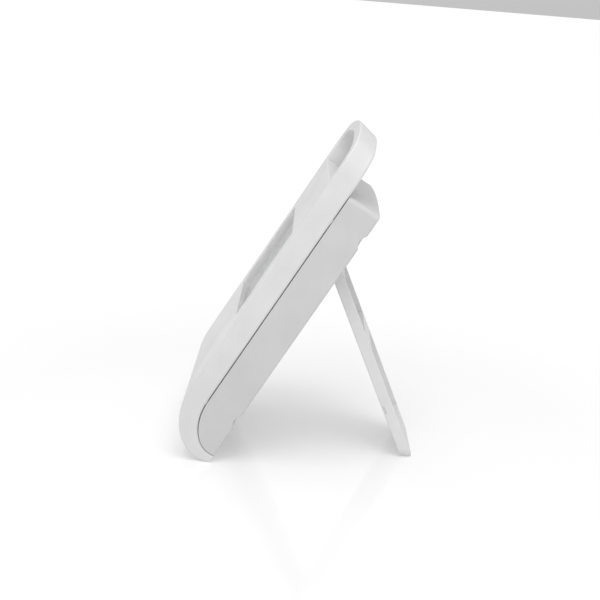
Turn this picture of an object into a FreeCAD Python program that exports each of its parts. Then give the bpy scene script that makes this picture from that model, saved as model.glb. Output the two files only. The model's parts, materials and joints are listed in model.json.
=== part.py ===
import FreeCAD, Part
import math
import os

# A small battery-powered digital display that leans back on a folding rear stand.
# It is drawn upright, in millimetres: X is its width, Y its depth from the front face
# towards the rear, Z its height above the lowest edge. At the end every piece is leaned
# back, front towards -Y, until the rear bottom edge and the foot of the stand share Z = 0.

# ---- driving dimensions -------------------------------------------------------------
WIDTH = 62.0
HEIGHT = 106.0
THICKNESS = 17.4
FRAME_DEPTH = 6.8            # front frame and carrying loop, front to rear
LEAN = 29.5                  # degrees back from upright

HALF = WIDTH / 2
SEAM = 0.15                  # shadow gap between the frame and the rear case
WALL = 1.8
SKIN = 0.5                   # parts inside the rear case stop this far below its surface
FRONT_EDGE = 0.4             # rounding round the face
OPENING_EDGE = 0.35          # rounding round the loop's opening, at the face
LOOP_REAR_EDGE = 0.7
CROWN_RADIUS = 109.0         # arched top edge of the loop
CORNER_RADIUS = 10.0         # top corners of the loop
TOP_DRAFT = 0.19             # the top edge falls this much per millimetre of depth

ROLL_CENTRE = (13.2, 18.5)   # the face rolls under about this Y and Z
CASE_ROLL_CENTRE = (15.9, 16.2)
CASE_BOTTOM = 3.3            # lowest point of the rear case
ROLL_STEPS = 12              # points on the curve of a roll

ARM = 4.9                    # thickness of the loop's two arms
BAR = 3.8                    # thickness of the loop's top bar
LOOP_LOW = 88.6              # lower edge of the loop's opening
LOOP_CORNER = 7.0

CASE_TOP_SIDE = 88.9         # top of the rear case at its side walls
CASE_TOP_RADIUS = 500.0      # its gentle arch
CASE_CORNER = 1.5            # between its top and its sides
CASE_REAR_EDGE = 0.5         # rounding round its back

WINDOW = (44.6, 29.7)        # width and height of the display opening
WINDOW_CENTRE = 55.3
RIM_DEPTH = 0.8              # the face is this thick where it covers the lens's flange
LENS_FLUSH = 0.06            # the lens's raised middle stops this far short of the face
LENS_GAP = 0.08
FACE_WALL = 2.0
LENS_MARGIN = 1.5
TAPE = 0.2
LCD_THICK = 2.4
BOARD_FRONT = 6.6
BOARD_THICK = 1.2
BOARD_REAR = BOARD_FRONT + BOARD_THICK
POST_RADIUS = 2.0
POST_INSET = 1.9              # from the board's edges to the middle of a post
BOARD_HALF = 27.9

SCREW_HEIGHTS = (15.8, 80.1)
SCREW_X = HALF - 2.3
SINK_MOUTH_RADIUS = 3.2      # wide enough to break out through the side wall
SINK_RADIUS = 2.0
SINK_FUNNEL_DEPTH = 1.5
SCREW_SINK_DEPTH = 2.7       # where the screw heads sit
SCREW_RADIUS = 0.9
HEAD_RADIUS = 1.65
HEAD_HEIGHT = 1.2
BOSS_RADIUS = 2.1

HINGE_Y = 15.3
HINGE_Z = 68.5
STAND_THICK = 3.3
STAND_LENGTH = 66.0          # hinge axis to the middle of the foot's end
STAND_TOP_HALF = 17.0
STAND_FOOT_HALF = 13.8
STAND_GAP = 0.35             # clearance to the recess all round
TRAY_WALL = 1.45             # floor and sides of the stand's recess
TRAY_HEAD = 3.4              # the recess reaches this far above the hinge
LIP_THICK = 0.6              # the lip that the opened stand's top edge stops against
LIP_RISE = 1.25
PIN_RADIUS = 1.0
PIN_HALF = STAND_TOP_HALF + STAND_GAP + 1.4
PIN_RUNNING_GAP = 0.06
POCKET_DEPTH = 2.0
FOOT_CORNER = 3.0
SOFT_EDGE = 0.35
POCKET_RIM = 2.2
POCKETS = ((6.5, 24.3), (30.5, 57.0))   # start and end, measured from the hinge

CELL_RADIUS = 5.25
CELL_LENGTH = 44.5
CELL_Y = 10.1
CELL_Z = 78.6
DOOR_THICK = 1.5
DOOR_HALF = 23.5
DOOR_LOW = 72.6
DOOR_HIGH = 85.2
DOOR_GAP = 0.2
BAY_WALL = 1.2
BAY_DEPTH = 7.0              # how far the bay's walls reach forward
GRIP_RIBS = 5                # finger grooves on the door
GRIP_PITCH = 1.6
GRIP_WIDTH = 0.7
GRIP_DEPTH = 0.4
GRIP_HALF = 5.0
FINGER_WIDTH = 0.8           # snap fingers at the door's ends

BUTTON_X = -24.0
BUTTON_HEIGHTS = (62.0, 51.0, 40.0)
BUTTON_RADIUS = 2.8
BUTTON_GAP = 0.2
BUTTON_TRAVEL = 0.8
BUTTON_PROUD = 0.7
BUTTON_PLAY = 0.1            # slack behind the case wall and before the switch
BUTTON_COLLAR = 0.9
STEM_RADIUS = 1.3
PLUNGER_RADIUS = 1.2
SWITCH_SIZE = 4.5
SWITCH_HEIGHT = 2.6

V = FreeCAD.Vector
PIECES = {}


# ---- helpers ------------------------------------------------------------------------
def box(x0, x1, y0, y1, z0, z1):
    return Part.makeBox(x1 - x0, y1 - y0, z1 - z0, V(x0, y0, z0))


def rod(radius, x, z, y0, y1):
    """A round bar that runs front to rear."""
    return Part.makeCylinder(radius, y1 - y0, V(x, y0, z), V(0, 1, 0))


def cross_rod(radius, y, z, x0, x1):
    """A round bar that runs across the width."""
    return Part.makeCylinder(radius, x1 - x0, V(x0, y, z), V(1, 0, 0))


def rounded_box(x0, x1, y0, y1, z0, z1, radius):
    """A block whose four edges along Y are rounded."""
    block = box(x0, x1, y0, y1, z0, z1)
    edges = [e for e in block.Edges if abs(e.tangentAt(e.FirstParameter).y) > 0.9]
    return block.makeFillet(radius, edges)


def arched_outline(y, half, top, crown, corner, bottom):
    """Front outline: straight sides, an arched top with rounded corners, a flat bottom."""
    low = top - crown
    cx = half - corner
    cz = low + math.sqrt((crown - corner) ** 2 - cx ** 2)
    slope = math.atan2(cz - low, cx)
    stretch = crown / (crown - corner)
    join_x = cx * stretch
    join_z = low + (cz - low) * stretch
    mid_x = cx + corner * math.cos(slope / 2)
    mid_z = cz + corner * math.sin(slope / 2)
    edges = [
        Part.Arc(V(-join_x, y, join_z), V(0, y, top), V(join_x, y, join_z)),
        Part.Arc(V(join_x, y, join_z), V(mid_x, y, mid_z), V(half, y, cz)),
        Part.LineSegment(V(half, y, cz), V(half, y, bottom)),
        Part.LineSegment(V(half, y, bottom), V(-half, y, bottom)),
        Part.LineSegment(V(-half, y, bottom), V(-half, y, cz)),
        Part.Arc(V(-half, y, cz), V(-mid_x, y, mid_z), V(-join_x, y, join_z)),
    ]
    return Part.Wire([edge.toShape() for edge in edges])


def side_profile(front, centre, bottom, rear, top):
    """Side outline, extruded right across: flat front that rolls under at the bottom."""
    cy, cz = centre
    a = cy - front
    b = cz - bottom
    last = math.acos(-(rear - cy) / a)
    points = []
    for i in range(ROLL_STEPS + 1):
        angle = last * i / ROLL_STEPS
        points.append(V(-WIDTH, cy - a * math.cos(angle), cz - b * math.sin(angle)))
    roll = Part.BSplineCurve()
    roll.interpolate(points)
    end = points[-1]
    edges = [
        roll.toShape(),
        Part.makeLine(end, V(-WIDTH, rear, top)),
        Part.makeLine(V(-WIDTH, rear, top), V(-WIDTH, front, top)),
        Part.makeLine(V(-WIDTH, front, top), points[0]),
    ]
    return Part.Face(Part.Wire(edges)).extrude(V(2 * WIDTH, 0, 0))


def round_edges(shape, radius, chosen):
    """The shape with its chosen edges rounded, or as it was if that spoils the solid."""
    edges = [edge for edge in shape.Edges if chosen(edge)]
    rounded = shape.makeFillet(radius, edges)
    return rounded if rounded.isValid() else shape


def edge_at(edge, y, tolerance=0.01):
    """True for an edge that lies wholly in the plane at this depth."""
    span = edge.BoundBox
    return abs(span.YMin - y) < tolerance and abs(span.YMax - y) < tolerance


def level_at(edge, z):
    """True for an edge that runs straight across at this height."""
    return abs(edge.BoundBox.ZMin - z) < 0.1 and abs(edge.BoundBox.ZMax - z) < 0.1


def around_opening(edge):
    """True for an edge on the rim of the loop's opening."""
    span = edge.BoundBox
    inside = HALF - ARM + 0.01
    return span.ZMin > LOOP_LOW - 0.1 and span.XMin > -inside and span.XMax < inside


def screw(x, z, y_head, length):
    """Pan-head screw driven from the rear, with a cross recess in its head."""
    shank = rod(SCREW_RADIUS, x, z, y_head - length, y_head)
    head = rod(HEAD_RADIUS, x, z, y_head, y_head + HEAD_HEIGHT)
    rims = [e for e in head.Edges if edge_at(e, y_head + HEAD_HEIGHT)]
    head = head.makeFillet(HEAD_HEIGHT / 3, rims)
    body = shank.fuse(head)
    arm = HEAD_RADIUS * 0.6
    half_slot = HEAD_RADIUS / 8
    y1 = y_head + HEAD_HEIGHT
    y0 = y1 - HEAD_HEIGHT / 2
    body = body.cut(box(x - arm, x + arm, y0, y1, z - half_slot, z + half_slot))
    return body.cut(box(x - half_slot, x + half_slot, y0, y1, z - arm, z + arm))


def screw_places():
    return [(side * SCREW_X, z) for z in SCREW_HEIGHTS for side in (-1, 1)]


def screw_sink(x, z):
    """The hole that a screw head sits in: a funnel at the rear face over a straight well."""
    well = rod(SINK_RADIUS, x, z, THICKNESS - SCREW_SINK_DEPTH, THICKNESS)
    funnel = Part.makeCone(SINK_RADIUS, SINK_MOUTH_RADIUS, SINK_FUNNEL_DEPTH,
                           V(x, THICKNESS - SINK_FUNNEL_DEPTH, z), V(0, 1, 0))
    return well.fuse(funnel)


def case_zone(inset, front):
    """The space of the rear case, drawn in from its outer surface by inset."""
    cy, cz = CASE_ROLL_CENTRE
    rear = THICKNESS - inset
    top = CASE_TOP_SIDE + CASE_TOP_RADIUS - math.sqrt(CASE_TOP_RADIUS ** 2 - HALF ** 2)
    outline = arched_outline(front, HALF - inset, top - inset, CASE_TOP_RADIUS, CASE_CORNER, 0)
    block = Part.Face(outline).extrude(V(0, rear - front, 0))
    roll_front = FRAME_DEPTH + SEAM + inset
    profile = side_profile(roll_front, (cy - 0.3 * inset, cz), CASE_BOTTOM + inset, rear, HEIGHT)
    if front < roll_front:
        profile = profile.fuse(box(-WIDTH, WIDTH, front, roll_front + 0.01, cz, HEIGHT))
    return block.common(profile)


def stand_half(t):
    """Half the stand's width at a distance from its hinge."""
    return STAND_TOP_HALF + (STAND_FOOT_HALF - STAND_TOP_HALF) * t / STAND_LENGTH


def tapered_plate(y0, y1, t0, t1, margin):
    """A plate that hangs down from the hinge line and follows the stand's taper."""
    top = stand_half(t0) + margin
    low = stand_half(t1) + margin
    corners = [V(-top, y0, HINGE_Z - t0), V(top, y0, HINGE_Z - t0),
               V(low, y0, HINGE_Z - t1), V(-low, y0, HINGE_Z - t1)]
    face = Part.Face(Part.makePolygon(corners + corners[:1]))
    return face.extrude(V(0, y1 - y0, 0))


# ---- where the stand opens to -------------------------------------------------------
def tip_height():
    """Height of the body's rear bottom edge, on which it stands."""
    cy, cz = ROLL_CENTRE
    return cz - cz * math.sqrt(1 - ((THICKNESS - cy) / cy) ** 2)


def opening_angle():
    """The angle at which the foot meets the plane under the rear bottom edge."""
    lean = math.radians(LEAN)
    rise = (HINGE_Z - tip_height()) * math.cos(lean)
    drop = (THICKNESS - HINGE_Y) * math.sin(lean)
    return LEAN + math.degrees(math.acos((rise + drop) / STAND_LENGTH))


STAND_OPEN = opening_angle()


# ---- casing -------------------------------------------------------------------------
def front_frame():
    outline = arched_outline(0, HALF, HEIGHT, CROWN_RADIUS, CORNER_RADIUS, -WALL)
    body = Part.Face(outline).extrude(V(0, THICKNESS, -TOP_DRAFT * THICKNESS))
    body = body.common(side_profile(0, ROLL_CENTRE, 0, THICKNESS, HEIGHT + WALL))
    body = round_edges(body, FRONT_EDGE,
                       lambda e: edge_at(e, 0) and not level_at(e, ROLL_CENTRE[1]))
    cy, cz = CASE_ROLL_CENTRE
    body = body.cut(side_profile(FRAME_DEPTH, (cy, cz), CASE_BOTTOM - SEAM,
                                 THICKNESS + WALL, HEIGHT + WALL))
    # the opening of the carrying loop
    opening = Part.Face(arched_outline(0, HALF - ARM, HEIGHT - BAR, CROWN_RADIUS,
                                       LOOP_CORNER, LOOP_LOW))
    body = body.cut(opening.extrude(V(0, THICKNESS, 0)))
    body = round_edges(body, OPENING_EDGE, lambda e: edge_at(e, 0) and around_opening(e))
    body = round_edges(body, LOOP_REAR_EDGE, lambda e: edge_at(e, FRAME_DEPTH)
                       and e.BoundBox.ZMin > LOOP_LOW + 1.5)
    # the hollow behind the face, the stepped display opening and the screw bosses
    inner = HALF - WALL
    body = body.cut(rounded_box(-inner, inner, FACE_WALL, FRAME_DEPTH + 1,
                                CASE_ROLL_CENTRE[1] - 2, LOOP_LOW - WALL, 1.5))
    w, h = WINDOW[0] / 2, WINDOW[1] / 2
    body = body.cut(rounded_box(-w, w, -1, FACE_WALL + 1,
                                WINDOW_CENTRE - h, WINDOW_CENTRE + h, 0.8))
    w, h = w + LENS_MARGIN, h + LENS_MARGIN
    body = body.cut(rounded_box(-w, w, RIM_DEPTH, FACE_WALL + 1,
                                WINDOW_CENTRE - h, WINDOW_CENTRE + h, 1.2))
    shell = side_profile(0, ROLL_CENTRE, 0, THICKNESS, HEIGHT)
    for x, z in screw_places():
        boss = rod(BOSS_RADIUS, x, z, FACE_WALL - 0.5, FRAME_DEPTH)
        body = body.fuse(boss.common(shell))
    for x, z in screw_places():
        body = body.cut(rod(SCREW_RADIUS, x, z, FACE_WALL, THICKNESS))
    # the foot of the folded stand reaches through the rear lip
    notch = stand_half(STAND_LENGTH) + STAND_GAP
    body = body.cut(box(-notch, notch, HINGE_Y - STAND_THICK / 2 - STAND_GAP, THICKNESS + 1,
                        -1, CASE_BOTTOM + 2))
    return body


def rear_case():
    shell = case_zone(0, FRAME_DEPTH + SEAM)
    shell = round_edges(shell, CASE_REAR_EDGE, lambda e: edge_at(e, THICKNESS))
    shell = shell.cut(case_zone(WALL, FRAME_DEPTH - 1))
    solid_zone = case_zone(SKIN, FRAME_DEPTH + SEAM)
    # tray for the folded stand, and the two ears that carry its pin
    back = HINGE_Y - STAND_THICK / 2 - STAND_GAP
    tray = tapered_plate(back - TRAY_WALL, THICKNESS - SKIN, -TRAY_HEAD, STAND_LENGTH + 2,
                         STAND_GAP + TRAY_WALL)
    shell = shell.fuse(tray.common(solid_zone))
    clear = tapered_plate(back, THICKNESS + 1, -STAND_THICK / 2 - STAND_GAP,
                          STAND_LENGTH + 9, STAND_GAP)
    lip = box(-STAND_TOP_HALF - 1, STAND_TOP_HALF + 1, THICKNESS - LIP_THICK, THICKNESS,
              HINGE_Z + LIP_RISE, HINGE_Z + TRAY_HEAD)
    shell = shell.cut(clear.cut(lip))
    shell = shell.cut(cross_rod(PIN_RADIUS, HINGE_Y, HINGE_Z, -PIN_HALF, PIN_HALF))
    # battery bay behind its door
    bay = box(-DOOR_HALF, DOOR_HALF, BOARD_REAR, THICKNESS + 1, DOOR_LOW, DOOR_HIGH)
    inner = DOOR_HALF + WALL
    outer = inner + BAY_WALL
    walls = box(-outer, outer, THICKNESS - BAY_DEPTH, THICKNESS - SKIN,
                DOOR_LOW - BAY_WALL, DOOR_HIGH + BAY_WALL)
    shell = shell.fuse(walls.common(solid_zone).cut(
        box(-inner, inner, 0, THICKNESS - WALL, DOOR_LOW, DOOR_HIGH)))
    shell = shell.cut(bay)
    # screw pillars with sunk heads that break out through the side walls
    for x, z in screw_places():
        pillar = rod(SINK_MOUTH_RADIUS + 0.6, x, z, FRAME_DEPTH + SEAM, THICKNESS - SKIN)
        shell = shell.fuse(pillar.common(solid_zone))
    for x, z in screw_places():
        shell = shell.cut(screw_sink(x, z))
        shell = shell.cut(rod(SCREW_RADIUS + 0.15, x, z, 0, THICKNESS))
    for z in BUTTON_HEIGHTS:
        shell = shell.cut(rod(BUTTON_RADIUS + BUTTON_GAP, BUTTON_X, z, THICKNESS - 3,
                              THICKNESS + 1))
    return shell


def case_screws():
    head = THICKNESS - SCREW_SINK_DEPTH
    length = head - FACE_WALL - 1.5
    return Part.makeCompound([screw(x, z, head, length) for x, z in screw_places()])


# ---- display ------------------------------------------------------------------------
def window_block(margin, y0, y1, radius):
    w = WINDOW[0] / 2 + margin
    h = WINDOW[1] / 2 + margin
    return rounded_box(-w, w, y0, y1, WINDOW_CENTRE - h, WINDOW_CENTRE + h, radius)


LCD_FRONT = FACE_WALL + TAPE
LCD_BACK = LCD_FRONT + LCD_THICK


def display_lens():
    """A clear plate whose raised middle fills the opening, flush with the face."""
    flange = window_block(LENS_MARGIN - LENS_GAP, RIM_DEPTH, FACE_WALL, 1.1)
    middle = window_block(-LENS_GAP, LENS_FLUSH, FACE_WALL, 0.7)
    return flange.fuse(middle).removeSplitter()


def lens_tape():
    return window_block(LENS_MARGIN, FACE_WALL, LCD_FRONT, 0.8).cut(
        window_block(-0.2, 0, LCD_BACK, 0.8))


def lcd_glass():
    """Front plate and a taller rear plate whose bare lower ledge carries the contacts."""
    middle = LCD_FRONT + LCD_THICK / 2
    w, h = WINDOW[0] / 2 + 1.2, WINDOW[1] / 2 + 1.0
    front = box(-w, w, LCD_FRONT, middle, WINDOW_CENTRE - h, WINDOW_CENTRE + h)
    rear = box(-w, w, middle, LCD_BACK, WINDOW_CENTRE - h - 2.4, WINDOW_CENTRE + h)
    return front.fuse(rear).removeSplitter()


def lcd_reflector():
    w, h = WINDOW[0] / 2 + 1.0, WINDOW[1] / 2 + 0.8
    return box(-w, w, LCD_BACK, LCD_BACK + 0.2, WINDOW_CENTRE - h, WINDOW_CENTRE + h)


def lcd_holder():
    """Moulded frame that clamps the glass to the face and the board to itself."""
    w, h = WINDOW[0] / 2 + 1.4, WINDOW[1] / 2 + 1.2
    low = WINDOW_CENTRE - h - 2.4
    outer = box(-w - 1.6, w + 1.6, LCD_FRONT, BOARD_FRONT, low - 4.2, WINDOW_CENTRE + h + 1.6)
    outer = outer.cut(box(-w, w, 0, BOARD_FRONT + 1, low, WINDOW_CENTRE + h))
    for x, z in board_screw_places():
        outer = outer.cut(rod(POST_RADIUS + 0.2, x, z, 0, BOARD_FRONT + 1))
    return outer.cut(box(-w, w, LCD_BACK, BOARD_FRONT + 1, low - 2.4, low + 1))


def zebra_strip():
    """Striped rubber connector from the glass ledge to the board."""
    w = WINDOW[0] / 2 - 0.5
    low = WINDOW_CENTRE - WINDOW[1] / 2 - 3.2
    return box(-w, w, LCD_BACK, BOARD_FRONT, low, low + 1.8)


# ---- electronics --------------------------------------------------------------------
BOARD_LOW = 27.0
BOARD_HIGH = 71.0


def main_board():
    board = rounded_box(-BOARD_HALF, BOARD_HALF, BOARD_FRONT, BOARD_REAR, BOARD_LOW, BOARD_HIGH, 1.5)
    for x, z in board_screw_places():
        board = board.cut(rod(SCREW_RADIUS + 0.1, x, z, 0, THICKNESS))
    return board


def board_screw_places():
    heights = (BOARD_LOW + POST_INSET, BOARD_HIGH - POST_INSET)
    return [(side * (BOARD_HALF - POST_INSET), z) for z in heights for side in (-1, 1)]


def board_posts():
    """Posts that hold the board off the face."""
    posts = []
    for x, z in board_screw_places():
        post = rod(POST_RADIUS, x, z, FACE_WALL, BOARD_FRONT)
        posts.append(post.cut(rod(SCREW_RADIUS, x, z, FACE_WALL + 1, BOARD_FRONT + 1)))
    return posts


def board_screws():
    return Part.makeCompound([screw(x, z, BOARD_REAR, 3.4) for x, z in board_screw_places()])


def controller_chip():
    blob = Part.makeSphere(11.0, V(4, BOARD_REAR - 9.4, 50))
    return blob.common(box(-6, 14, BOARD_REAR, BOARD_REAR + 3, 40, 60))


def quartz_crystal():
    can = cross_rod(1.0, BOARD_REAR + 1.05, 39, 2, 8)
    ends = [e for e in can.Edges if e.BoundBox.XLength < 0.01]
    return can.makeFillet(0.3, ends)


def board_capacitors():
    return Part.makeCompound([
        box(x, x + 1.6, BOARD_REAR, BOARD_REAR + 0.8, z, z + 0.8)
        for x in (14.5, 18.0, 21.5) for z in (36.0, 44.0, 52.0)])


def button_switches():
    """Push switches on the board, one under each button."""
    half = SWITCH_SIZE / 2
    switches = []
    for z in BUTTON_HEIGHTS:
        base = box(BUTTON_X - half, BUTTON_X + half, BOARD_REAR,
                   BOARD_REAR + SWITCH_HEIGHT - 0.8, z - half, z + half)
        plunger = rod(PLUNGER_RADIUS, BUTTON_X, z, BOARD_REAR, BOARD_REAR + SWITCH_HEIGHT)
        switches.append(base.fuse(plunger))
    return Part.makeCompound(switches)


def button(z):
    """Round cap with a collar inside the case and a stem down to its switch."""
    top = THICKNESS + BUTTON_PROUD
    collar_top = THICKNESS - WALL - BUTTON_PLAY
    cap = rod(BUTTON_RADIUS, BUTTON_X, z, collar_top, top)
    rims = [e for e in cap.Edges if edge_at(e, top)]
    cap = cap.makeFillet(0.5, rims)
    collar = rod(BUTTON_RADIUS + BUTTON_COLLAR, BUTTON_X, z, collar_top - 0.8, collar_top)
    stem_end = BOARD_REAR + SWITCH_HEIGHT + BUTTON_TRAVEL + BUTTON_PLAY
    stem = rod(STEM_RADIUS, BUTTON_X, z, stem_end, collar_top)
    return cap.fuse(collar).fuse(stem).removeSplitter()


# ---- battery ------------------------------------------------------------------------
def battery_cell():
    half = CELL_LENGTH / 2
    can = cross_rod(CELL_RADIUS, CELL_Y, CELL_Z, -half, half - 1.2)
    rims = [e for e in can.Edges if e.BoundBox.XLength < 0.01]
    can = can.makeFillet(0.5, rims)
    return can.fuse(cross_rod(1.9, CELL_Y, CELL_Z, half - 2, half))


def contact_plate(side):
    """Plated tab behind one end of the cell, with a tail that runs down to the board."""
    x0 = side * (CELL_LENGTH / 2 + 0.5)
    x1 = x0 + side * 0.3
    lo, hi = min(x0, x1), max(x0, x1)
    tab = box(lo, hi, BOARD_REAR, THICKNESS - 3.2, CELL_Z - 4.5, CELL_Z + 4.5)
    tail = box(lo, hi, BOARD_REAR, BOARD_REAR + 1.6, BOARD_HIGH - 2, CELL_Z)
    return tab.fuse(tail).removeSplitter()


def contact_positive():
    plate = contact_plate(1)
    return plate.fuse(cross_rod(1.6, CELL_Y, CELL_Z, CELL_LENGTH / 2, CELL_LENGTH / 2 + 0.6))


def contact_spring():
    """Tab with a small cone of wire turns that presses on the flat end of the cell."""
    plate = contact_plate(-1)
    x = -CELL_LENGTH / 2 - 0.29
    return plate.fuse(Part.makeTorus(2.4, 0.28, V(x, CELL_Y, CELL_Z), V(1, 0, 0)))


def door_outline(gap, y0, y1):
    return rounded_box(-DOOR_HALF + gap, DOOR_HALF - gap, y0, y1,
                       DOOR_LOW + gap, DOOR_HIGH - gap, 1.0)


def battery_door():
    door = door_outline(DOOR_GAP, THICKNESS - DOOR_THICK, THICKNESS)
    for i in range(GRIP_RIBS):
        z = DOOR_LOW + 2 * GRIP_PITCH + GRIP_PITCH * i
        door = door.cut(box(-GRIP_HALF, GRIP_HALF, THICKNESS - GRIP_DEPTH, THICKNESS + 1,
                            z, z + GRIP_WIDTH))
    finger = box(-FINGER_WIDTH / 2, FINGER_WIDTH / 2, THICKNESS - 2 * DOOR_THICK,
                 THICKNESS - DOOR_THICK, DOOR_HIGH - 2.0, DOOR_HIGH - 0.6)
    for side in (-1, 1):
        placed = finger.copy()
        placed.translate(V(side * (DOOR_HALF - DOOR_GAP - FINGER_WIDTH / 2), 0, 0))
        door = door.fuse(placed)
    return door


# ---- stand --------------------------------------------------------------------------
def stand():
    half = STAND_THICK / 2
    y0, y1 = HINGE_Y - half, HINGE_Y + half
    # end cut so that the foot lies flat on the ground when the stand is open
    ground = Part.makeBox(4 * WIDTH, 4 * WIDTH, WIDTH, V(-2 * WIDTH, -2 * WIDTH, -WIDTH))
    ground.rotate(V(0, 0, 0), V(1, 0, 0), LEAN)
    ground.translate(V(0, THICKNESS, tip_height()))
    body = folded(opened(tapered_plate(y0, y1, 0, STAND_LENGTH + 3, 0)).cut(ground))
    foot_level = HINGE_Z - STAND_LENGTH + STAND_THICK
    body = round_edges(body, FOOT_CORNER, lambda e: e.BoundBox.ZMax < foot_level
                       and e.BoundBox.XLength < 0.5)
    body = round_edges(body, SOFT_EDGE, lambda e: (edge_at(e, y0) or edge_at(e, y1))
                       and not level_at(e, HINGE_Z))
    body = body.fuse(cross_rod(half, HINGE_Y, HINGE_Z, -STAND_TOP_HALF, STAND_TOP_HALF))
    for t0, t1 in POCKETS:
        body = body.cut(tapered_plate(y1 - POCKET_DEPTH, y1 + 1, t0, t1, -POCKET_RIM))
    # snap notches in the long edges
    for side in (-1, 1):
        x = side * stand_half(49.0)
        body = body.cut(box(x - 0.5, x + 0.5, y0 - 1, y0 + 0.9, HINGE_Z - 50.2, HINGE_Z - 47.8))
    body = body.cut(cross_rod(PIN_RADIUS + PIN_RUNNING_GAP, HINGE_Y, HINGE_Z, -WIDTH, WIDTH))
    return opened(body.removeSplitter())


def turned(shape, angle):
    shape = shape.copy()
    shape.rotate(V(0, HINGE_Y, HINGE_Z), V(1, 0, 0), angle)
    return shape


def opened(shape):
    return turned(shape, STAND_OPEN)


def folded(shape):
    return turned(shape, -STAND_OPEN)


def stand_pin():
    return cross_rod(PIN_RADIUS, HINGE_Y, HINGE_Z, -PIN_HALF, PIN_HALF)


# ---- assembly -----------------------------------------------------------------------
def build():
    frame = front_frame()
    for post in board_posts():
        frame = frame.fuse(post)
    PIECES["front_frame"] = frame
    PIECES["rear_case"] = rear_case()
    PIECES["case_screws"] = case_screws()
    PIECES["display_lens"] = display_lens()
    PIECES["lens_tape"] = lens_tape()
    PIECES["lcd_glass"] = lcd_glass()
    PIECES["lcd_reflector"] = lcd_reflector()
    PIECES["lcd_holder"] = lcd_holder()
    PIECES["zebra_strip"] = zebra_strip()
    PIECES["main_board"] = main_board()
    PIECES["board_screws"] = board_screws()
    PIECES["controller_chip"] = controller_chip()
    PIECES["quartz_crystal"] = quartz_crystal()
    PIECES["board_capacitors"] = board_capacitors()
    PIECES["button_switches"] = button_switches()
    for name, z in zip(("upper", "middle", "lower"), BUTTON_HEIGHTS):
        PIECES["button_" + name] = button(z)
    PIECES["battery_cell"] = battery_cell()
    PIECES["contact_positive"] = contact_positive()
    PIECES["contact_spring"] = contact_spring()
    PIECES["battery_door"] = battery_door()
    PIECES["stand"] = stand()
    PIECES["stand_pin"] = stand_pin()


def leaned(shape):
    """Lean a piece back and move it so that the whole stands centred on the origin."""
    shape = shape.copy()
    shape.rotate(V(0, 0, 0), V(1, 0, 0), -LEAN)
    return shape


def main():
    build()
    placed = {name: leaned(shape) for name, shape in PIECES.items()}
    bounds = Part.makeCompound(list(placed.values())).optimalBoundingBox(False, False)
    shift = V(0, -(bounds.YMin + bounds.YMax) / 2, -bounds.ZMin)
    os.makedirs("parts", exist_ok=True)
    for name, shape in placed.items():
        shape.translate(shift)
        shape.exportStep("parts/" + name + ".step")
        print(name, "valid" if shape.isValid() else "NOT VALID", len(shape.Solids), "solids",
              round(shape.Volume, 1), "mm3")
    print("opening angle", round(STAND_OPEN, 3))
    print("bounds", bounds)
    print("shift", shift)
    hinge = Part.Vertex(V(0, HINGE_Y, HINGE_Z))
    hinge.rotate(V(0, 0, 0), V(1, 0, 0), -LEAN)
    print("hinge", hinge.Point + shift)


main()
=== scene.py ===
"""The looks of a small battery desk display that leans back on a fold-out rear stand."""

import json
import math

import bmesh
import bpy
from mathutils import Matrix, Vector


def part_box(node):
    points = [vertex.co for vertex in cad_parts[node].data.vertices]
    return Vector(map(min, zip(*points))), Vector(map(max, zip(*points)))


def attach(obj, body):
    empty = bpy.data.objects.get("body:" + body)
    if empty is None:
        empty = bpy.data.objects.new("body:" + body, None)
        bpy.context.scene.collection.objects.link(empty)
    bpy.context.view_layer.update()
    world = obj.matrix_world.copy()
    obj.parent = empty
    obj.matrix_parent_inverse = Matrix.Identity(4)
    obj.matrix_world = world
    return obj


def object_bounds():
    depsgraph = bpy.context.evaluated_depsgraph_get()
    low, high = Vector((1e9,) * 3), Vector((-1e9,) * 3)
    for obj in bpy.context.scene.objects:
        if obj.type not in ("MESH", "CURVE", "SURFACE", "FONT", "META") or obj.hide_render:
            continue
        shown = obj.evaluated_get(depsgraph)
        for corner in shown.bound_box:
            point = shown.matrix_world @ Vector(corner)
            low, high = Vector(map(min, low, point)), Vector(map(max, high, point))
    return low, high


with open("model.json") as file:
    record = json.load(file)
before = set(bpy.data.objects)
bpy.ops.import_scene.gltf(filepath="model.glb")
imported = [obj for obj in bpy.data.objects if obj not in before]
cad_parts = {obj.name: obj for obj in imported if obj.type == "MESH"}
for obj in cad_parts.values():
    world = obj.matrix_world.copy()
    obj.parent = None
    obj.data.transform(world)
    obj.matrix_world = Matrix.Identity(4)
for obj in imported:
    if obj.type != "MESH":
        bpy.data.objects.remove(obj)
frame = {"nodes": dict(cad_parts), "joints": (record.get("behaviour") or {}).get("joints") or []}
CAD_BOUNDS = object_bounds()

MM = 0.001
NODES = frame["nodes"]
JOINTS = {joint["name"]: joint for joint in frame["joints"]}
LOW, HIGH = (Vector(corner) for corner in CAD_BOUNDS)
CENTRE = (LOW + HIGH) / 2
SIZE = HIGH - LOW

# The leaning body's own directions: across it, out of its back, and up along its face.
ACROSS = Vector((1, 0, 0))
BACK = Vector(JOINTS["door_lift"]["axis"])
UP = ACROSS.cross(BACK)
LEAN = math.atan2(UP.y, UP.z)


def along(node, direction):
    """The least and greatest distance of a node's points along a direction."""
    distances = [vertex.co.dot(direction) for vertex in NODES[node].data.vertices]
    return min(distances), max(distances)


# ---------------------------------------------------------------- material tools

RANGE_SOCKETS = ("From Min", "From Max", "To Min", "To Max")


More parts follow.
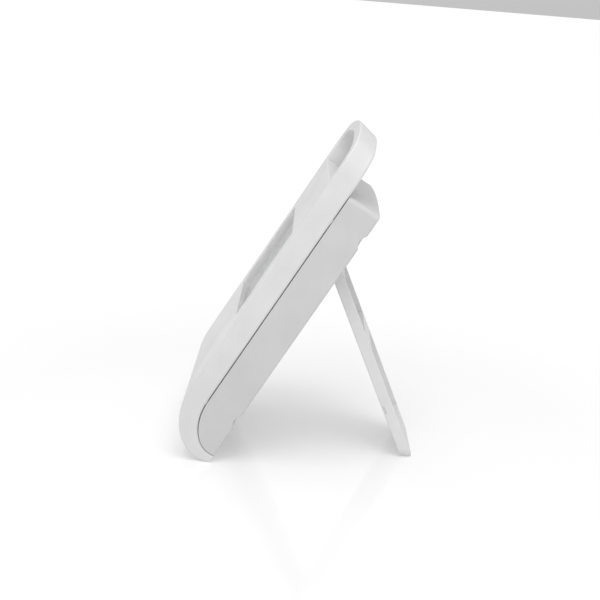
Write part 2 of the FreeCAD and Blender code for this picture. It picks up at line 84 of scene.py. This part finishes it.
class Paint:
    """A material under construction: its node tree and its one main shader."""

    def __init__(self, name, **sockets):
        self.material = bpy.data.materials.new(name)
        self.material.use_nodes = True
        self.tree = self.material.node_tree
        self.shader = self.tree.nodes["Principled BSDF"]
        for socket, value in sockets.items():
            self.shader.inputs[socket.replace("_", " ")].default_value = value

    def node(self, kind, **settings):
        """A new node of the kind, with its settings made."""
        made = self.tree.nodes.new(kind)
        for setting, value in settings.items():
            setattr(made, setting, value)
        return made

    def link(self, output, socket):
        self.tree.links.new(output, socket)

    def place(self, stretch=(1, 1, 1), turn=0.0):
        """Points of the object in metres, turned with its lean and stretched along its directions."""
        coordinates = self.node("ShaderNodeTexCoord")
        mapping = self.node("ShaderNodeMapping", vector_type="POINT")
        mapping.inputs["Rotation"].default_value = (LEAN + turn, 0, 0)
        mapping.inputs["Scale"].default_value = stretch
        self.link(coordinates.outputs["Object"], mapping.inputs["Vector"])
        return mapping.outputs["Vector"]

    def noise(self, size, detail=2.0, stretch=(1, 1, 1), turn=0.0):
        """A soft random pattern with features about size metres across."""
        texture = self.node("ShaderNodeTexNoise")
        texture.inputs["Scale"].default_value = 1 / size
        texture.inputs["Detail"].default_value = detail
        self.link(self.place(stretch, turn), texture.inputs["Vector"])
        return texture.outputs["Fac"]

    def cells(self, size):
        """The distance to the nearest of scattered points about size metres apart."""
        texture = self.node("ShaderNodeTexVoronoi")
        texture.inputs["Scale"].default_value = 1 / size
        self.link(self.place(), texture.inputs["Vector"])
        return texture.outputs["Distance"]

    def ranged(self, value, low, high, start=0.0, end=1.0):
        """The value's part from start to end, moved to go from low to high."""
        node = self.node("ShaderNodeMapRange")
        for socket, amount in zip(RANGE_SOCKETS, (start, end, low, high)):
            node.inputs[socket].default_value = amount
        self.link(value, node.inputs["Value"])
        return node.outputs["Result"]

    def times(self, first, second, operation="MULTIPLY"):
        """Two values multiplied, or put together by another operation."""
        node = self.node("ShaderNodeMath", operation=operation)
        for socket, value in zip(node.inputs, (first, second)):
            if isinstance(value, float):
                socket.default_value = value
            else:
                self.link(value, socket)
        return node.outputs["Value"]

    def mixed(self, factor, first, second):
        """A colour between two colours, each one a tuple or another node's output."""
        node = self.node("ShaderNodeMix", data_type="RGBA")
        self.link(factor, node.inputs["Factor"])
        for socket, colour in ((node.inputs[6], first), (node.inputs[7], second)):
            if isinstance(colour, tuple):
                socket.default_value = (*colour, 1)
            else:
                self.link(colour, socket)
        return node.outputs[2]

    def edges(self, radius):
        """1 along sharp edges and 0 on flat ground, from how far a rounded normal turns."""
        rounded = self.node("ShaderNodeBevel", samples=4)
        rounded.inputs["Radius"].default_value = radius
        plain = self.node("ShaderNodeNewGeometry")
        likeness = self.node("ShaderNodeVectorMath", operation="DOT_PRODUCT")
        self.link(rounded.outputs["Normal"], likeness.inputs[0])
        self.link(plain.outputs["Normal"], likeness.inputs[1])
        return self.ranged(likeness.outputs["Value"], 1.0, 0.0, 0.80, 0.99)

    def colour(self, output):
        self.link(output, self.shader.inputs["Base Color"])

    def roughness(self, output):
        self.link(output, self.shader.inputs["Roughness"])

    def relief(self, height, depth):
        """Small bumps of the given depth in metres, over any relief made before."""
        bump = self.node("ShaderNodeBump")
        bump.inputs["Distance"].default_value = depth
        self.link(height, bump.inputs["Height"])
        normal = self.shader.inputs["Normal"]
        if normal.is_linked:
            self.link(normal.links[0].from_socket, bump.inputs["Normal"])
        self.link(bump.outputs["Normal"], normal)


def shade(colour, share):
    """The colour made lighter or darker by a share of itself."""
    return tuple(min(1.0, part * share) for part in colour)


# ---------------------------------------------------------------- materials


def moulded_plastic(name, colour, roughness, grain, grain_depth, wear):
    """Injection-moulded plastic: cloudy colour, spark-etched grain, rubbed edges and fine scratches."""
    paint = Paint(name, IOR=1.5, Specular_IOR_Level=0.22)
    clouds = paint.noise(9 * MM, 3.0)
    flow = paint.noise(3 * MM, 2.0, (1, 1, 0.15))
    body = paint.mixed(paint.ranged(clouds, 0, 1, 0.35, 0.65), shade(colour, 0.975), shade(colour, 1.02))
    body = paint.mixed(paint.ranged(flow, 0, 0.35, 0.45, 0.75), body, shade(colour, 0.965))
    dust = paint.ranged(paint.noise(0.35 * MM, 4.0), 0, 0.5, 0.62, 0.80)
    body = paint.mixed(dust, body, shade(colour, 0.90))
    rubbed = paint.times(paint.edges(0.35 * MM), paint.ranged(paint.noise(2 * MM), 0.2, 1.0, 0.35, 0.65))
    paint.colour(paint.mixed(paint.times(rubbed, wear), body, shade(colour, 1.06)))
    scratches = paint.ranged(paint.noise(0.5 * MM, 3.0, (0.08, 1, 1), 0.6), 0, 0.08, 0.60, 0.75)
    handled = paint.ranged(paint.noise(14 * MM, 4.0), roughness - 0.05, roughness + 0.06, 0.35, 0.65)
    smoothed = paint.times(handled, paint.ranged(rubbed, 0, 0.07), "SUBTRACT")
    paint.roughness(paint.times(smoothed, scratches, "ADD"))
    paint.relief(paint.noise(grain, 3.0), grain_depth)
    paint.relief(paint.noise(12 * MM, 1.0), 0.03 * MM)
    return paint.material


def steel(name, colour, roughness):
    """Nickel-plated steel with turning marks and a little tarnish."""
    paint = Paint(name, Metallic=1.0)
    tarnish = paint.ranged(paint.noise(0.6 * MM, 4.0), 0, 1, 0.40, 0.70)
    paint.colour(paint.mixed(tarnish, colour, shade(colour, 0.72)))
    paint.roughness(paint.ranged(paint.noise(0.3 * MM, 3.0), roughness - 0.08, roughness + 0.14, 0.3, 0.7))
    paint.relief(paint.noise(0.06 * MM, 2.0, (1, 1, 0.1)), 0.004 * MM)
    return paint.material


def clear_window():
    """Clear acrylic with faint finger marks and hairline scratches."""
    paint = Paint("window_acrylic", IOR=1.49, Transmission_Weight=1.0, Alpha=0.55)
    marks = paint.ranged(paint.noise(6 * MM, 4.0), 0.01, 0.04, 0.45, 0.75)
    hair = paint.ranged(paint.noise(0.4 * MM, 3.0, (1, 1, 0.04)), 0, 0.04, 0.62, 0.75)
    paint.roughness(paint.times(marks, hair, "ADD"))
    tint = paint.ranged(paint.noise(10 * MM, 2.0), 0, 1, 0.4, 0.6)
    paint.colour(paint.mixed(tint, (0.955, 0.965, 0.96), (0.97, 0.975, 0.975)))
    paint.relief(paint.noise(8 * MM, 1.0), 0.01 * MM)
    return paint.material


def black_foam():
    """Closed-cell foam tape."""
    paint = Paint("foam_tape", IOR=1.45)
    holes = paint.cells(0.25 * MM)
    # Painted shade: the foam is darkened towards the middle of each cell pit, as shade in the hollows.
    depth = paint.ranged(holes, 0, 1, 0.1, 0.8)
    paint.colour(paint.mixed(depth, (0.012, 0.012, 0.013), (0.05, 0.05, 0.052)))
    paint.roughness(paint.ranged(paint.noise(0.4 * MM), 0.85, 0.98))
    paint.relief(holes, 0.05 * MM)
    return paint.material


def liquid_crystal_glass():
    """The display's front polariser: grey, with a silky sheen and fine streaks along its height."""
    paint = Paint("lcd_polariser", IOR=1.5, Specular_IOR_Level=0.10)
    streaks = paint.noise(2.2 * MM, 3.0, (1, 1, 0.07))
    fine = paint.noise(0.45 * MM, 2.0, (1, 1, 0.05))
    body = paint.mixed(paint.ranged(streaks, 0, 1, 0.35, 0.65), (0.225, 0.24, 0.23), (0.30, 0.32, 0.305))
    paint.colour(paint.mixed(paint.ranged(fine, 0, 0.4, 0.5, 0.7), body, (0.20, 0.215, 0.205)))
    paint.roughness(paint.ranged(paint.noise(3 * MM, 3.0), 0.22, 0.34, 0.35, 0.65))
    paint.relief(paint.noise(0.12 * MM, 2.0), 0.002 * MM)
    return paint.material


def reflector_film():
    """Pearly silver film behind the glass."""
    paint = Paint("reflector_film", Metallic=0.8)
    pearl = paint.noise(0.3 * MM, 4.0)
    paint.colour(paint.mixed(pearl, (0.62, 0.63, 0.62), (0.80, 0.80, 0.78)))
    paint.roughness(paint.ranged(pearl, 0.32, 0.5))
    paint.relief(pearl, 0.006 * MM)
    return paint.material


def rubber(name, colour, band):
    """Silicone rubber in fine layers."""
    paint = Paint(name, IOR=1.45)
    layers = paint.noise(band, 1.0, (1, 0.05, 0.05))
    paint.colour(paint.mixed(paint.ranged(layers, 0, 1, 0.45, 0.55), colour, shade(colour, 0.25)))
    paint.roughness(paint.ranged(paint.noise(0.5 * MM), 0.6, 0.8))
    paint.relief(paint.noise(0.1 * MM, 3.0), 0.01 * MM)
    return paint.material


def circuit_board():
    """Green lacquer over copper tracks, with glass weave in the laminate."""
    paint = Paint("board_laminate", IOR=1.5, Coat_Weight=0.4, Coat_Roughness=0.2)
    tracks = paint.node("ShaderNodeTexBrick", offset=0.35, squash=0.6)
    for socket, value in (("Scale", 1 / (6 * MM)), ("Mortar Size", 0.05), ("Mortar Smooth", 0.2)):
        tracks.inputs[socket].default_value = value
    paint.link(paint.place((1, 0.01, 1), -math.pi / 2), tracks.inputs["Vector"])
    weave = paint.noise(0.5 * MM, 2.0, (1, 1, 0.3))
    threads = paint.ranged(weave, 0, 1, 0.4, 0.6)
    lacquer = paint.mixed(threads, (0.010, 0.105, 0.035), (0.016, 0.135, 0.05))
    paint.colour(paint.mixed(tracks.outputs["Fac"], lacquer, (0.035, 0.24, 0.075)))
    paint.roughness(paint.ranged(weave, 0.28, 0.42))
    paint.relief(tracks.outputs["Fac"], 0.035 * MM)
    paint.relief(weave, 0.01 * MM)
    return paint.material


def cast_resin(name, colour, roughness):
    """Moulded or dipped component body, faintly speckled."""
    paint = Paint(name, IOR=1.5)
    filler = paint.noise(0.12 * MM, 4.0)
    paint.colour(paint.mixed(paint.ranged(filler, 0, 1, 0.4, 0.7), colour, shade(colour, 1.5)))
    paint.roughness(paint.ranged(filler, roughness - 0.07, roughness + 0.1, 0.3, 0.7))
    paint.relief(filler, 0.01 * MM)
    return paint.material


PALE_SHARE = 0.30  # of the cell's length, under the pale band
BAND_BLUR = 0.005


def battery_jacket():
    """Printed shrink sleeve: dark, with one pale band round the positive end."""
    paint = Paint("cell_sleeve", IOR=1.5, Coat_Weight=0.5, Coat_Roughness=0.15)
    low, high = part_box("battery_cell")
    length = high.x - low.x
    start = high.x - PALE_SHARE * length
    coordinates = paint.node("ShaderNodeTexCoord")
    parts = paint.node("ShaderNodeSeparateXYZ")
    paint.link(coordinates.outputs["Object"], parts.inputs["Vector"])
    band = paint.ranged(parts.outputs["X"], 0, 1, start, start + BAND_BLUR * length)
    wear = paint.noise(1.5 * MM, 4.0)
    dark = paint.mixed(paint.ranged(wear, 0, 1, 0.4, 0.7), (0.022, 0.024, 0.028), (0.04, 0.042, 0.048))
    pale = paint.mixed(paint.ranged(wear, 0, 1, 0.4, 0.7), (0.52, 0.50, 0.46), (0.60, 0.585, 0.55))
    paint.colour(paint.mixed(band, dark, pale))
    paint.roughness(paint.ranged(wear, 0.24, 0.42))
    paint.relief(paint.noise(0.8 * MM, 2.0), 0.015 * MM)
    return paint.material


def segment_ink():
    """The darkened liquid crystal of a lit segment."""
    paint = Paint("lcd_segment", IOR=1.5)
    depth = paint.noise(0.6 * MM, 2.0)
    paint.colour(paint.mixed(depth, (0.055, 0.06, 0.065), (0.085, 0.09, 0.095)))
    paint.roughness(paint.ranged(depth, 0.25, 0.4))
    paint.relief(depth, 0.002 * MM)
    return paint.material


WHITE = (0.63, 0.63, 0.63)
# Painted shade: the rear case is the same white plastic as the front, made darker to stand in for the
# shade on its sides and top.
CASE_WHITE_DARKENED_AS_SHADE = (0.53, 0.53, 0.53)
# Painted light: the stand is the same white plastic, made lighter to stand in for the light bounced onto
# it from the table.
STAND_WHITE_LIGHTENED_AS_BOUNCE = (0.67, 0.67, 0.67)
GREY = (0.46, 0.46, 0.46)
NICKEL = (0.70, 0.69, 0.67)

# Each material with the pieces that wear it.
NODE_MATERIALS = (
    (moulded_plastic("front_shell", WHITE, 0.36, 0.10 * MM, 0.002 * MM, 0.5), ("front_frame",)),
    (moulded_plastic("case_shell", CASE_WHITE_DARKENED_AS_SHADE, 0.42, 0.16 * MM, 0.005 * MM, 0.5),
     ("rear_case", "battery_door")),
    (moulded_plastic("stand_shell", STAND_WHITE_LIGHTENED_AS_BOUNCE, 0.45, 0.16 * MM, 0.006 * MM, 0.6), ("stand",)),
    (moulded_plastic("button_shell", GREY, 0.50, 0.14 * MM, 0.006 * MM, 0.8),
     ("button_upper", "button_middle", "button_lower")),
    (moulded_plastic("inner_shell", shade(WHITE, 0.85), 0.50, 0.20 * MM, 0.006 * MM, 0.4),
     ("lcd_holder",)),
    (steel("screw_plating", NICKEL, 0.30), ("case_screws", "board_screws", "stand_pin")),
    (steel("contact_plating", shade(NICKEL, 1.1), 0.22), ("contact_positive", "contact_spring")),
    (steel("can_plating", shade(NICKEL, 1.05), 0.26), ("quartz_crystal",)),
    (clear_window(), ("display_lens",)),
    (black_foam(), ("lens_tape",)),
    (liquid_crystal_glass(), ("lcd_glass",)),
    (reflector_film(), ("lcd_reflector",)),
    (rubber("zebra_layers", (0.32, 0.16, 0.14), 0.1 * MM), ("zebra_strip",)),
    (circuit_board(), ("main_board",)),
    (cast_resin("chip_resin", (0.012, 0.012, 0.013), 0.35), ("controller_chip",)),
    (cast_resin("capacitor_ceramic", (0.30, 0.19, 0.10), 0.45), ("board_capacitors",)),
    (cast_resin("switch_resin", (0.016, 0.016, 0.017), 0.50), ("button_switches",)),
    (battery_jacket(), ("battery_cell",)),
)


def dress_nodes():
    """Gives every carried-over piece its material."""
    for material, names in NODE_MATERIALS:
        for name in names:
            mesh = NODES[name].data
            mesh.materials.clear()
            mesh.materials.append(material)


# ---------------------------------------------------------------- display figures

# Which of the seven bars each figure lights: top, upper left, upper right, middle,
# lower left, lower right, bottom.
FIGURES = {
    "0": (1, 1, 1, 0, 1, 1, 1),
    "1": (0, 0, 1, 0, 0, 1, 0),
    "2": (1, 0, 1, 1, 1, 0, 1),
    "4": (0, 1, 1, 1, 0, 1, 0),
    "5": (1, 1, 0, 1, 0, 1, 1),
    "6": (1, 1, 0, 1, 1, 1, 1),
}
INK_THICKNESS = 0.04 * MM
GAP_SHARE = 0.25  # of a bar's width, left open at each end of a bar

# Measures of a figure, as shares of its height.
SLANT = 0.08
FIGURE_WIDTH = 0.50
BAR_WIDTH = 0.13
FIGURE_PITCH = 0.74
DOT_PITCH = 0.30
DOT_RADIUS = 0.065
DOT_SIDES = 12

# The rows of the display: text, distance right of the middle, and the distance above the middle
# and the figures' height as shares of the glass's height.
ROWS = (
    ("10:25", 0 * MM, 0.13, 0.36),
    ("21.5", -9 * MM, -0.22, 0.17),
    ("46", 11 * MM, -0.22, 0.17),
)


def add_bar(mesh, place, start, end, width):
    """One pointed bar of a figure, as a thin prism between two points of the glass."""
    run = end - start
    length = run.length
    ahead = run / length
    aside = Vector((-ahead.y, ahead.x))
    half = width / 2
    gap = width * GAP_SHARE
    outline = [
        start + ahead * gap,
        start + ahead * (gap + half) + aside * half,
        end - ahead * (gap + half) + aside * half,
        end - ahead * gap,
        end - ahead * (gap + half) - aside * half,
        start + ahead * (gap + half) - aside * half,
    ]
    add_prism(mesh, place, outline)


def add_prism(mesh, place, outline):
    """A thin plate with the outline, given in the glass's own plane."""
    rings = [[mesh.verts.new(place(point, level)) for point in outline] for level in (0, INK_THICKNESS)]
    mesh.faces.new(rings[0])
    mesh.faces.new(reversed(rings[1]))
    for i in range(len(outline)):
        j = (i + 1) % len(outline)
        mesh.faces.new((rings[0][j], rings[0][i], rings[1][i], rings[1][j]))


def add_figure(mesh, place, figure, corner, height):
    """One seven-bar figure with its lower left corner at the given point."""
    width = FIGURE_WIDTH * height
    bar = BAR_WIDTH * height

    def point(x, y):
        return Vector((corner.x + x * width + SLANT * y * height, corner.y + y * height))

    ends = (
        ((0, 1), (1, 1)),
        ((0, 0.5), (0, 1)),
        ((1, 0.5), (1, 1)),
        ((0, 0.5), (1, 0.5)),
        ((0, 0), (0, 0.5)),
        ((1, 0), (1, 0.5)),
        ((0, 0), (1, 0)),
    )
    for lit, (start, end) in zip(FIGURES[figure], ends):
        if lit:
            add_bar(mesh, place, point(*start), point(*end), bar)


def add_dot(mesh, place, centre, radius):
    """A round dot."""
    angles = [math.tau * i / DOT_SIDES for i in range(DOT_SIDES)]
    corners = [centre + radius * Vector((math.cos(angle), math.sin(angle))) for angle in angles]
    add_prism(mesh, place, corners)


def add_row(mesh, place, text, centre, height):
    """A row of figures, with : and . as dots, centred on a point."""
    radius = DOT_RADIUS * height
    widths = [(DOT_PITCH if mark in ":." else FIGURE_PITCH) * height for mark in text]
    gap = (FIGURE_PITCH - FIGURE_WIDTH) * height
    x = centre.x - (sum(widths) - gap) / 2
    y = centre.y - height / 2
    for mark, step in zip(text, widths):
        if mark == ":":
            for share in (0.3, 0.7):
                add_dot(mesh, place, Vector((x + SLANT * share * height, y + share * height)), radius)
        elif mark == ".":
            add_dot(mesh, place, Vector((x, y)), radius)
        else:
            add_figure(mesh, place, mark, Vector((x, y)), height)
        x += step


def display_figures():
    """The lit segments on the glass: a time over a temperature and a humidity, all made up."""
    front = along("lcd_glass", BACK)[0]
    low, high = along("lcd_glass", UP)
    middle = (low + high) / 2
    tall = high - low

    def place(point, level):
        return ACROSS * point.x + UP * point.y + BACK * (front - level)

    mesh = bmesh.new()
    for text, right, above, share in ROWS:
        add_row(mesh, place, text, Vector((right, middle + above * tall)), share * tall)
    bmesh.ops.recalc_face_normals(mesh, faces=mesh.faces)
    data = bpy.data.meshes.new("display_figures")
    mesh.to_mesh(data)
    mesh.free()
    data.materials.append(segment_ink())
    piece = bpy.data.objects.new("display_figures", data)
    bpy.context.scene.collection.objects.link(piece)
    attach(piece, "body")


# ---------------------------------------------------------------- stage

TABLE_REACH = 300 * SIZE.z
TABLE_COLOUR = (0.62, 0.62, 0.62)
TABLE_GLOW = 0.36
FAR_GLOW = 1.75  # the glow far away, as a multiple of the glow near the object
GLOW_START = 1.0 * SIZE.z
GLOW_END = 3.5 * SIZE.z
MIRROR_SHARE = 0.18
MIRROR_ROUGHNESS = 0.08

# The sky's strength along Z, and what is added to it along Y: axis, start, end, low, high.
SKY_SLOPES = (
    ("Z", 0.0, 1.0, 0.58, 0.95),
    ("Y", -1.0, 1.0, 0.06, -0.10),
)

CAMERA_ANGLES = (-0.44, 13.405, 4.728)  # azimuth, elevation and roll in degrees
CAMERA_DISTANCE = 4.033 * SIZE.z
CAMERA_AIM = Vector((CENTRE.x, CENTRE.y - 0.039 * SIZE.y, LOW.z + 0.438 * SIZE.z))
LENS_MM = 78.0
SENSOR_MM = 36.0


def floor():
    """A pale, faintly glossy table far wider than the view, glowing faintly, and more so far away."""
    data = bpy.data.meshes.new("table_top")
    sides = ((-1, -1), (1, -1), (1, 1), (-1, 1))
    corners = [(x * TABLE_REACH, y * TABLE_REACH, LOW.z) for x, y in sides]
    data.from_pydata(corners, [], [(0, 1, 2, 3)])
    paint = Paint("table_white", Specular_IOR_Level=0.0, Emission_Strength=TABLE_GLOW)
    distance = paint.node("ShaderNodeVectorMath", operation="LENGTH")
    paint.link(paint.place(), distance.inputs[0])
    away = paint.ranged(distance.outputs["Value"], 0, 1, GLOW_START, GLOW_END)
    glow = paint.mixed(away, (1, 1, 1), (FAR_GLOW, FAR_GLOW, FAR_GLOW))
    paint.link(glow, paint.shader.inputs["Emission Color"])
    clouds = paint.noise(60 * MM, 2.0)
    paint.colour(paint.mixed(clouds, shade(TABLE_COLOUR, 0.995), shade(TABLE_COLOUR, 1.005)))
    mirror = paint.node("ShaderNodeBsdfGlossy")
    mirror.inputs["Roughness"].default_value = MIRROR_ROUGHNESS
    blend = paint.node("ShaderNodeMixShader")
    blend.inputs["Fac"].default_value = MIRROR_SHARE
    surface = paint.tree.nodes["Material Output"].inputs["Surface"]
    paint.link(paint.shader.outputs["BSDF"], blend.inputs[1])
    paint.link(mirror.outputs["BSDF"], blend.inputs[2])
    paint.link(blend.outputs["Shader"], surface)
    data.materials.append(paint.material)
    table = bpy.data.objects.new("table_top", data)
    bpy.context.scene.collection.objects.link(table)


def sky():
    """Soft light from all round: strong overhead and from the front, weaker from behind."""
    world = bpy.data.worlds.new("studio")
    bpy.context.scene.world = world
    world.use_nodes = True
    nodes = world.node_tree.nodes
    link = world.node_tree.links.new
    coordinates = nodes.new("ShaderNodeTexCoord")
    parts = nodes.new("ShaderNodeSeparateXYZ")
    link(coordinates.outputs["Generated"], parts.inputs["Vector"])
    total = None
    for axis, start, end, low, high in SKY_SLOPES:
        ranged = nodes.new("ShaderNodeMapRange")
        for socket, amount in zip(RANGE_SOCKETS, (start, end, low, high)):
            ranged.inputs[socket].default_value = amount
        link(parts.outputs[axis], ranged.inputs["Value"])
        if total is None:
            total = ranged.outputs["Result"]
        else:
            add = nodes.new("ShaderNodeMath")
            link(total, add.inputs[0])
            link(ranged.outputs["Result"], add.inputs[1])
            total = add.outputs["Value"]
    link(total, nodes["Background"].inputs["Strength"])
    nodes["Background"].inputs["Color"].default_value = (1, 1, 1, 1)


def soft_box(name, direction, distance, side, power):
    """A square area light that looks at the object's centre."""
    data = bpy.data.lights.new(name, "AREA")
    data.shape = "SQUARE"
    data.size = side
    data.energy = power
    lamp = bpy.data.objects.new(name, data)
    lamp.location = CENTRE + Vector(direction).normalized() * distance
    lamp.rotation_euler = (CENTRE - lamp.location).to_track_quat("-Z", "Y").to_euler()
    bpy.context.scene.collection.objects.link(lamp)


def camera():
    """A long lens at the near side, a little above and slightly tilted."""
    azimuth, elevation, roll = (math.radians(angle) for angle in CAMERA_ANGLES)
    outward = Vector(
        (
            math.cos(elevation) * math.cos(azimuth),
            math.cos(elevation) * math.sin(azimuth),
            math.sin(elevation),
        )
    )
    level = Vector((0, 0, 1)).cross(outward).normalized()
    upright = outward.cross(level)
    right = level * math.cos(roll) + upright * math.sin(roll)
    over = outward.cross(right)
    data = bpy.data.cameras.new("photo_camera")
    data.lens = LENS_MM
    data.sensor_width = SENSOR_MM
    data.clip_start = 0.01
    data.clip_end = 100.0
    eye = bpy.data.objects.new("photo_camera", data)
    turn = Matrix((right, over, outward)).transposed().to_4x4()
    eye.matrix_world = Matrix.Translation(CAMERA_AIM + outward * CAMERA_DISTANCE) @ turn
    bpy.context.scene.collection.objects.link(eye)
    bpy.context.scene.camera = eye


dress_nodes()
display_figures()
floor()
sky()
soft_box("key_light", (0.50, 0.03, 1.0), 0.50, 0.36, 1.5)
soft_box("side_light", (1.0, 0.06, 0.26), 1.0, 0.05, 0.2)
camera()
bpy.context.scene.view_settings.view_transform = "Standard"
